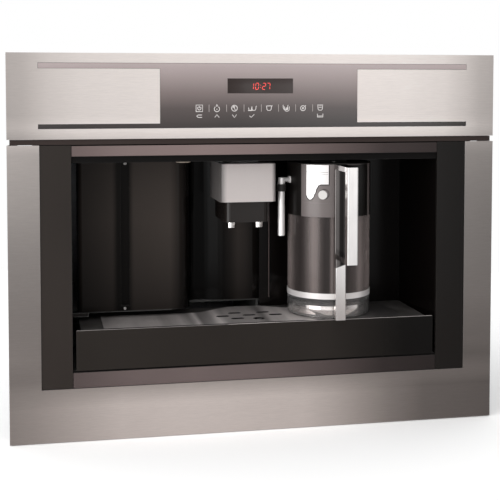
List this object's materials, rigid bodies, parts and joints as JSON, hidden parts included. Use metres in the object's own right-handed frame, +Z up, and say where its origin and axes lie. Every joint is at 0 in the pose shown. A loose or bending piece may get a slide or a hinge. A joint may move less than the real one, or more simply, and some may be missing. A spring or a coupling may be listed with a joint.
{
  "type": "built in coffee machine",
  "caption": "Built-in bean-to-cup coffee machine for a 45 cm niche: steel front, touch panel, height-adjustable spout, drip tray, milk jug with handle, on pull-out runners.",
  "frame": {"origin": "centre of the runner plate's rest face on the niche floor", "axes": "+X to the user's right, +Y into the cabinet, +Z up"},
  "size_m": [0.594, 0.455, 0.456],
  "materials": {
    "front_steel": "fine horizontal brushing, warm silver",
    "housing_sheet": "galvanised sheet, satin",
    "runner_steel": "zinc-plated, satin",
    "control_glass": "dark brown gloss, printed",
    "display_board": "circuit board and display module",
    "border_gloss": "near-black gloss",
    "strip_gloss": "brown-grey gloss",
    "tray_gloss": "dark brown gloss",
    "door_gloss": "black gloss",
    "liner_gloss": "black gloss liner",
    "carrier_black": "black moulding",
    "tray_black": "black moulding",
    "float_grey": "dark grey foam plastic",
    "plate_chrome": "polished pressed plate",
    "spout_silver": "satin silver",
    "spout_black": "black gloss",
    "chrome": "bright chrome",
    "jug_glass": "smoky clear glass",
    "jug_clear": "thick clear plastic",
    "lid_black": "black gloss",
    "lid_satin": "satin chrome",
    "button_white": "off-white gloss",
    "rubber_black": "black seal",
    "tank_clear": "clear plastic",
    "shelf_grey": "grey moulding",
    "grounds_dark": "black moulding",
    "brew_plastic": "glass-filled moulding",
    "spindle_steel": "ground steel",
    "hopper_smoke": "smoky clear plastic",
    "motor_steel": "motor casing",
    "boiler_metal": "cast and turned",
    "hose_silicone": "milky hose",
    "inlet_black": "black moulding",
    "switch_black": "black rocker",
    "screw_steel": "zinc-plated",
    "light_lens": "frosted lens",
    "catch_black": "magnet in a black case"
  },
  "bodies": {
    "runner_base": {"base_plate": "housing_sheet", "runner_outer": "runner_steel"},
    "runner_middles": {"runner_middle": "runner_steel"},
    "machine": {"runner_inner": "runner_steel", "chassis_pan": "housing_sheet", "side_panels": "housing_sheet", "rear_panel": "housing_sheet", "top_panel": "housing_sheet", "panel_screws": "screw_steel", "front_carrier": "carrier_black", "lower_frame": "front_steel", "control_panel": "front_steel", "control_glass": "control_glass", "control_board": "display_board", "side_borders": "border_gloss", "cross_strips": "strip_gloss", "niche_walls": "liner_gloss", "niche_ceiling": "carrier_black", "cup_lights": "light_lens", "tray_shelf": "carrier_black", "door_hinge_pin": "screw_steel", "door_catch": "catch_black", "milk_nozzle": "rubber_black", "inner_shelf": "shelf_grey", "water_tank": "tank_clear", "grounds_container": "grounds_dark", "brew_frame": "brew_plastic", "bean_hopper": "hopper_smoke", "grinder_body": "shelf_grey", "grinder_motor": "motor_steel", "pump": "motor_steel", "boiler": "boiler_metal", "steam_boiler": "boiler_metal", "hoses": "hose_silicone", "power_inlet": "inlet_black"},
    "door": {"service_door": "door_gloss"},
    "coffee_spout": {"spout_cap": "spout_silver", "spout_body": "spout_black", "spout_nozzles": "chrome"},
    "drip_tray": {"tray_front": "tray_gloss", "drip_pan": "tray_black", "drip_plate": "plate_chrome"},
    "float": {"tray_float": "float_grey"},
    "milk_container": {"jug_base": "jug_clear", "jug_band": "chrome", "milk_jug": "jug_glass", "jug_lid": "lid_black", "lid_front_plate": "lid_satin", "jug_handle": "chrome", "intake_tube": "jug_clear"},
    "froth_regulator": {"froth_dial": "lid_black"},
    "lid_button": {"clean_button": "button_white"},
    "milk_outlet": {"milk_spout": "chrome", "milk_spout_collar": "rubber_black"},
    "bean_lid": {"hopper_lid": "hopper_smoke"},
    "grind_selector": {"grind_knob": "carrier_black"},
    "burr": {"grinder_burr": "spindle_steel"},
    "spindle": {"brew_spindle": "spindle_steel"},
    "piston": {"brew_piston": "brew_plastic"},
    "mains_switch": {"power_switch": "switch_black"}
  },
  "joints": [
    {"name": "machine_slide", "type": "slide", "parent": "runner_base", "child": "machine", "axis": [0, -1, 0], "range_m": [0, 0.3]},
    {"name": "runner_middle_slide", "type": "slide", "parent": "runner_base", "child": "runner_middles", "axis": [0, -1, 0], "range_m": [0, 0.15]},
    {"name": "door_hinge", "type": "hinge", "parent": "machine", "child": "door", "pos_m": [-0.2085, -0.1365, 0.14], "axis": [0, 0, -1], "range_deg": [0, 95]},
    {"name": "spout_slide", "type": "slide", "parent": "door", "child": "coffee_spout", "axis": [0, 0, -1], "range_m": [0, 0.04]},
    {"name": "tray_slide", "type": "slide", "parent": "machine", "child": "drip_tray", "axis": [0, -1, 0], "range_m": [0, 0.16]},
    {"name": "float_lift", "type": "slide", "parent": "drip_tray", "child": "float", "axis": [0, 0, 1], "range_m": [0, 0.006]},
    {"name": "milk_container_slide", "type": "slide", "parent": "machine", "child": "milk_container", "axis": [0, -1, 0], "range_m": [0, 0.12]},
    {"name": "froth_dial_turn", "type": "hinge", "parent": "milk_container", "child": "froth_regulator", "pos_m": [0.1, -0.153, 0.314], "axis": [0, 0, 1], "range_deg": [0, 90]},
    {"name": "clean_button_press", "type": "slide", "parent": "milk_container", "child": "lid_button", "axis": [0.3907, 0.9205, 0], "range_m": [0, 0.0025], "stiffness_N_per_m": 400},
    {"name": "milk_outlet_swing", "type": "hinge", "parent": "milk_container", "child": "milk_outlet", "pos_m": [0.053, -0.156, 0.301], "axis": [0, 0, 1], "range_deg": [-15, 20]},
    {"name": "bean_lid_hinge", "type": "hinge", "parent": "machine", "child": "bean_lid", "pos_m": [0.12, 0.151, 0.4473], "axis": [-1, 0, 0], "range_deg": [0, 95]},
    {"name": "grind_selector_turn", "type": "hinge", "parent": "machine", "child": "grind_selector", "pos_m": [0.011, 0.067, 0.444], "axis": [0, 0, 1], "range_deg": [-135, 135]},
    {"name": "burr_spin", "type": "hinge", "parent": "machine", "child": "burr", "pos_m": [0.12, 0.067, 0.318], "axis": [0, 0, 1], "continuous": true},
    {"name": "spindle_turn", "type": "hinge", "parent": "machine", "child": "spindle", "pos_m": [-0.0138, 0.06, 0.1425], "axis": [0, 0, 1], "range_deg": [0, 1800]},
    {"name": "piston_slide", "type": "slide", "parent": "machine", "child": "piston", "axis": [0, 0, 1], "range_m": [0, 0.04]},
    {"name": "mains_switch_rock", "type": "hinge", "parent": "machine", "child": "mains_switch", "pos_m": [-0.16, 0.1828, 0.091], "axis": [1, 0, 0], "range_deg": [-8, 8]}
  ],
  "couplings": [
    {"joint": "runner_middle_slide", "follows": "machine_slide", "ratio": 0.5},
    {"joint": "spindle_turn", "follows": "piston_slide", "rad_per_m": 785.4}
  ]
}
